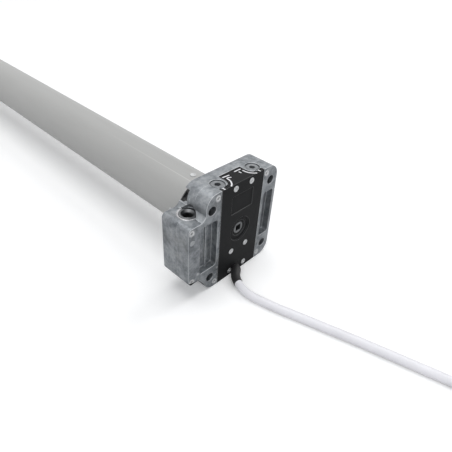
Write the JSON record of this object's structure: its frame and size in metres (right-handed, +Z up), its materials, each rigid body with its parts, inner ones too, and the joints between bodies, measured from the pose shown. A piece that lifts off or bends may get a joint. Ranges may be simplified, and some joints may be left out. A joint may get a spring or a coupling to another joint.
{
  "type": "tubular roller blind motor",
  "caption": "Tubular motor for roller blinds and shutters: grey tube, black limit crown, square die-cast head with black cover, crank override gearbox and white supply cable.",
  "frame": {"origin": "motor axis on the front mounting face of the head, centre of its four fixing holes", "axes": "+Y along the tube, away from the head; +Z up; +X to the right seen from the front"},
  "size_m": [0.1239, 0.9696, 0.084],
  "materials": {
    "die_cast": "bare zinc die casting, slightly rough",
    "tube_grey": "matte grey powder coat",
    "cover_black": "fine grained black plastic",
    "crown_black": "smooth black plastic",
    "cable_white": "white PVC sheath",
    "boot_rubber": "black rubber",
    "screw_steel": "zinc plated",
    "steel": "ground steel",
    "dark_steel": "phosphated steel",
    "bronze": "bearing bronze",
    "copper": "enamelled copper wire",
    "white_plastic": "natural acetal",
    "board": "glass-fibre board",
    "core_insulation": "coloured core insulation",
    "aluminium": "turned aluminium"
  },
  "bodies": {
    "head": {"front_casting": "die_cast", "rear_casting": "die_cast", "front_cover": "cover_black", "cover_screws": "screw_steel", "casting_screws": "screw_steel", "hub_insert": "dark_steel", "worm_bushes": "steel", "spigot_clip": "dark_steel", "limit_switches": "crown_black", "terminal_block": "white_plastic", "cable_boot": "boot_rubber", "cable_lead": "cable_white", "cable_coil": "cable_white", "cable_tie": "boot_rubber", "cable_cores": "core_insulation", "brush_block": "crown_black"},
    "crank": {"crank_socket": "dark_steel", "override_worm": "dark_steel"},
    "motor": {"worm_wheel": "bronze", "neck_bushes": "white_plastic", "thrust_washer": "steel", "motor_tube": "tube_grey", "tube_plug": "die_cast", "tube_rivets": "screw_steel", "slip_ring_disc": "board", "capacitor": "white_plastic", "capacitor_cradle": "crown_black", "brake_housing": "steel", "brake_coil": "copper", "brake_spring": "steel", "rear_end_shield": "die_cast", "front_end_shield": "die_cast", "motor_bearings": "steel", "stator_core": "dark_steel", "stator_windings": "copper", "ring_gear": "dark_steel", "output_housing": "die_cast", "output_bearings": "steel"},
    "crown": {"limit_crown": "crown_black"},
    "pinion": {"counter_pinion": "white_plastic"},
    "dial_up": {"limit_screw_up": "steel"},
    "dial_down": {"limit_screw_down": "steel"},
    "nut_up": {"limit_nut_up": "white_plastic"},
    "nut_down": {"limit_nut_down": "white_plastic"},
    "armature": {"brake_plate": "steel"},
    "rotor": {"rotor_core": "aluminium", "rotor_shaft": "steel", "brake_disc": "boot_rubber"},
    "stage_1": {"carrier_1": "dark_steel"},
    "stage_2": {"carrier_2": "dark_steel"},
    "output": {"output_shaft": "dark_steel"},
    "planet_1a": {"planet_1a": "steel"},
    "planet_1b": {"planet_1b": "steel"},
    "planet_1c": {"planet_1c": "steel"},
    "planet_2a": {"planet_2a": "steel"},
    "planet_2b": {"planet_2b": "steel"},
    "planet_2c": {"planet_2c": "steel"},
    "planet_3a": {"planet_3a": "steel"},
    "planet_3b": {"planet_3b": "steel"},
    "planet_3c": {"planet_3c": "steel"}
  },
  "joints": [
    {"name": "motor_turn", "type": "hinge", "parent": "head", "child": "motor", "pos_m": [0, 0.0145, 0], "axis": [0, 1, 0], "continuous": true},
    {"name": "crank_turn", "type": "hinge", "parent": "head", "child": "crank", "pos_m": [-0.0385, 0.0145, 0.02], "axis": [0, 0, 1], "continuous": true},
    {"name": "crown_turn", "type": "hinge", "parent": "head", "child": "crown", "pos_m": [0, 0.03, 0], "axis": [0, 1, 0], "continuous": true},
    {"name": "pinion_turn", "type": "hinge", "parent": "head", "child": "pinion", "pos_m": [0.01945, 0.0196, -0.01945], "axis": [0, 1, 0], "continuous": true},
    {"name": "dial_up_turn", "type": "hinge", "parent": "head", "child": "dial_up", "pos_m": [-0.0175, 0.0085, 0.04], "axis": [0, 0, 1], "range_deg": [-1800, 1800]},
    {"name": "nut_up_slide", "type": "slide", "parent": "head", "child": "nut_up", "axis": [0, 0, 1], "range_m": [-0.004, 0.004]},
    {"name": "dial_down_turn", "type": "hinge", "parent": "head", "child": "dial_down", "pos_m": [0.0175, 0.0085, 0.04], "axis": [0, 0, 1], "range_deg": [-1800, 1800]},
    {"name": "nut_down_slide", "type": "slide", "parent": "head", "child": "nut_down", "axis": [0, 0, 1], "range_m": [-0.004, 0.004]},
    {"name": "rotor_turn", "type": "hinge", "parent": "motor", "child": "rotor", "pos_m": [0, 0.2218, 0], "axis": [0, 1, 0], "continuous": true},
    {"name": "stage_1_turn", "type": "hinge", "parent": "motor", "child": "stage_1", "pos_m": [0, 0.3958, 0], "axis": [0, 1, 0], "continuous": true},
    {"name": "stage_2_turn", "type": "hinge", "parent": "motor", "child": "stage_2", "pos_m": [0, 0.4218, 0], "axis": [0, 1, 0], "continuous": true},
    {"name": "output_turn", "type": "hinge", "parent": "motor", "child": "output", "pos_m": [0, 0.63, 0], "axis": [0, 1, 0], "continuous": true},
    {"name": "brake_lift", "type": "slide", "parent": "motor", "child": "armature", "axis": [0, -1, 0], "range_m": [0, 0.0006], "stiffness_N_per_m": 1500, "springref_m": -0.002, "deforming": ["brake_spring"]},
    {"name": "planet_1a_turn", "type": "hinge", "parent": "stage_1", "child": "planet_1a", "pos_m": [0.0099, 0.3818, 0], "axis": [0, 1, 0], "continuous": true},
    {"name": "planet_1b_turn", "type": "hinge", "parent": "stage_1", "child": "planet_1b", "pos_m": [-0.00495, 0.3818, 0.00857], "axis": [0, 1, 0], "continuous": true},
    {"name": "planet_1c_turn", "type": "hinge", "parent": "stage_1", "child": "planet_1c", "pos_m": [-0.00495, 0.3818, -0.00857], "axis": [0, 1, 0], "continuous": true},
    {"name": "planet_2a_turn", "type": "hinge", "parent": "stage_2", "child": "planet_2a", "pos_m": [0.0099, 0.4018, 0], "axis": [0, 1, 0], "continuous": true},
    {"name": "planet_2b_turn", "type": "hinge", "parent": "stage_2", "child": "planet_2b", "pos_m": [-0.00495, 0.4018, 0.00857], "axis": [0, 1, 0], "continuous": true},
    {"name": "planet_2c_turn", "type": "hinge", "parent": "stage_2", "child": "planet_2c", "pos_m": [-0.00495, 0.4018, -0.00857], "axis": [0, 1, 0], "continuous": true},
    {"name": "planet_3a_turn", "type": "hinge", "parent": "output", "child": "planet_3a", "pos_m": [0.0099, 0.4298, 0], "axis": [0, 1, 0], "continuous": true},
    {"name": "planet_3b_turn", "type": "hinge", "parent": "output", "child": "planet_3b", "pos_m": [-0.00495, 0.4298, 0.00857], "axis": [0, 1, 0], "continuous": true},
    {"name": "planet_3c_turn", "type": "hinge", "parent": "output", "child": "planet_3c", "pos_m": [-0.00495, 0.4298, -0.00857], "axis": [0, 1, 0], "continuous": true}
  ],
  "couplings": [
    {"joint": "crank_turn", "follows": "motor_turn", "ratio": -44},
    {"joint": "pinion_turn", "follows": "crown_turn", "ratio": -4.5},
    {"joint": "dial_up_turn", "follows": "nut_up_slide", "rad_per_m": 7854},
    {"joint": "dial_down_turn", "follows": "nut_down_slide", "rad_per_m": 7854},
    {"joint": "stage_1_turn", "follows": "rotor_turn", "ratio": 0.18182},
    {"joint": "stage_2_turn", "follows": "rotor_turn", "ratio": 0.033058},
    {"joint": "output_turn", "follows": "rotor_turn", "ratio": 0.0060105},
    {"joint": "planet_1a_turn", "follows": "rotor_turn", "ratio": -0.46753},
    {"joint": "planet_1b_turn", "follows": "rotor_turn", "ratio": -0.46753},
    {"joint": "planet_1c_turn", "follows": "rotor_turn", "ratio": -0.46753},
    {"joint": "planet_2a_turn", "follows": "rotor_turn", "ratio": -0.085006},
    {"joint": "planet_2b_turn", "follows": "rotor_turn", "ratio": -0.085006},
    {"joint": "planet_2c_turn", "follows": "rotor_turn", "ratio": -0.085006},
    {"joint": "planet_3a_turn", "follows": "rotor_turn", "ratio": -0.015456},
    {"joint": "planet_3b_turn", "follows": "rotor_turn", "ratio": -0.015456},
    {"joint": "planet_3c_turn", "follows": "rotor_turn", "ratio": -0.015456}
  ]
}
